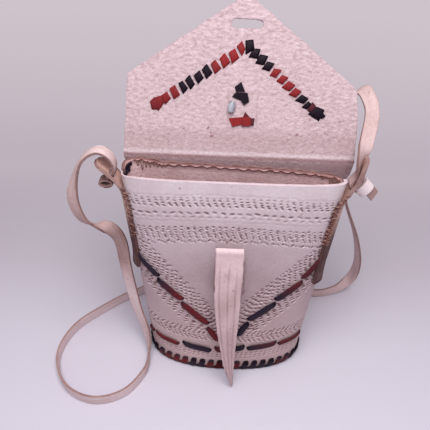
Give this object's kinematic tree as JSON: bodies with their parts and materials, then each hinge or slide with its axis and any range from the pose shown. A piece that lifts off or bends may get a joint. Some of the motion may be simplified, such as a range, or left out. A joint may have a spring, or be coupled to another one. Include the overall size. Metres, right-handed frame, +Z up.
{
  "type": "leather crossbody bag",
  "caption": "Small natural leather crossbody bag with laced base and front, tooled rows, pointed fold-over flap, closing tongue, side tabs and a long flat shoulder strap.",
  "frame": {"origin": "middle of the flat underside of the base plate, on the surface the bag stands on", "axes": "+Z up, the front of the bag faces -Y, its right side in the picture is +X"},
  "size_m": [0.3414, 0.1722, 0.3511],
  "materials": {
    "natural_leather": "undyed, matt smooth side",
    "leather_rough_side": "undyed, rough side out",
    "dyed_lace": "dyed black and brick red along its length",
    "red_lace": "dyed brick red",
    "black_lace": "dyed black",
    "grey_bead": "cloudy grey glass"
  },
  "bodies": {
    "bag": {"base_plate": "natural_leather", "front_panel": "natural_leather", "back_panel": "natural_leather", "base_lace": "dyed_lace", "corner_lace": "black_lace", "front_lace_left": "dyed_lace", "front_lace_right": "dyed_lace", "hoop_lace": "dyed_lace", "flap_margin": "leather_rough_side", "tongue_root": "natural_leather", "side_tab_left": "natural_leather", "side_tab_right": "natural_leather", "shoulder_strap": "natural_leather", "strap_knot_left": "natural_leather", "strap_knot_right": "natural_leather"},
    "lid": {"flap": "leather_rough_side", "flap_lace_left": "dyed_lace", "flap_lace_right": "dyed_lace", "flap_lace_black": "black_lace", "flap_lace_red": "red_lace", "flap_bead": "grey_bead"},
    "tongue": {"closing_tongue": "natural_leather"}
  },
  "joints": [
    {"name": "flap_hinge", "type": "hinge", "parent": "bag", "child": "lid", "pos_m": [0, 0.01264, 0.2329], "axis": [1, 0, 0], "range_deg": [0, 126]},
    {"name": "tongue_hinge", "type": "hinge", "parent": "bag", "child": "tongue", "pos_m": [0, -0.033, 0.1656], "axis": [-1, 0, 0], "range_deg": [0, 90]}
  ]
}
